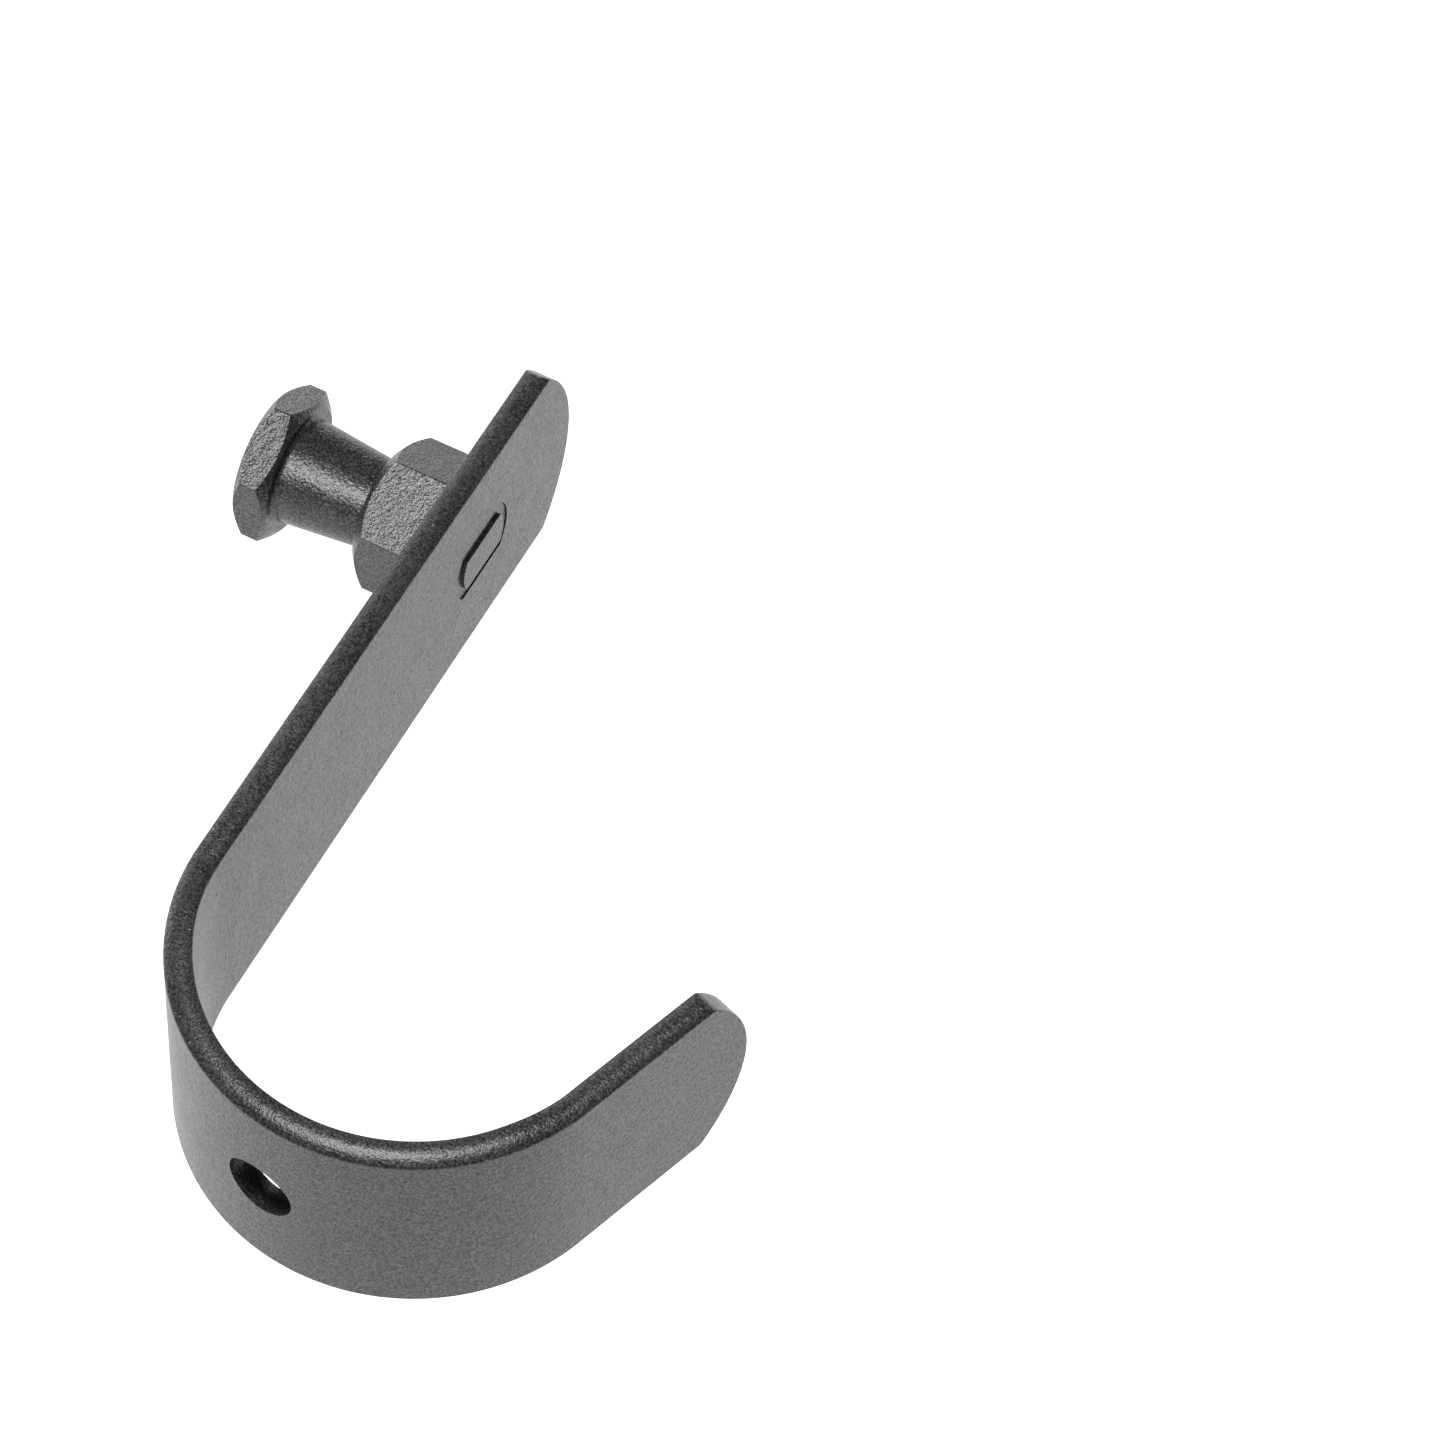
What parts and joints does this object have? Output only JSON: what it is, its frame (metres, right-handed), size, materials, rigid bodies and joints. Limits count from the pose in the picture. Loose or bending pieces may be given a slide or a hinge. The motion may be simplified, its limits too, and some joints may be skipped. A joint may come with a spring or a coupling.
{
  "type": "safety chain hook",
  "caption": "Flat steel bar bent to a J-shaped chain hook, with a hexagonal necked stud staked through its long leg to hang in a keyhole plate.",
  "frame": {"origin": "on the stud's axis, in the plane of the hexagonal body's shoulder ring that meets a keyhole plate", "axes": "+X along the stud's axis from the shoulder to the bar and on over the open throat; +Y along the long leg from the bend to the leg's end, so the hook hangs with -Y down in use; +Z across the bar's width, up, as the hook lies on one long edge"},
  "size_m": [0.1292, 0.1627, 0.0452],
  "materials": {
    "bar_coat": "satin black powder coat over mild steel flat bar, fine orange-peel texture",
    "stud_coat": "satin black powder coat over a turned and staked steel stud, slightly coarser texture"
  },
  "bodies": {
    "root": {"hook_bar": "bar_coat", "hex_stud": "stud_coat"}
  },
  "joints": []
}
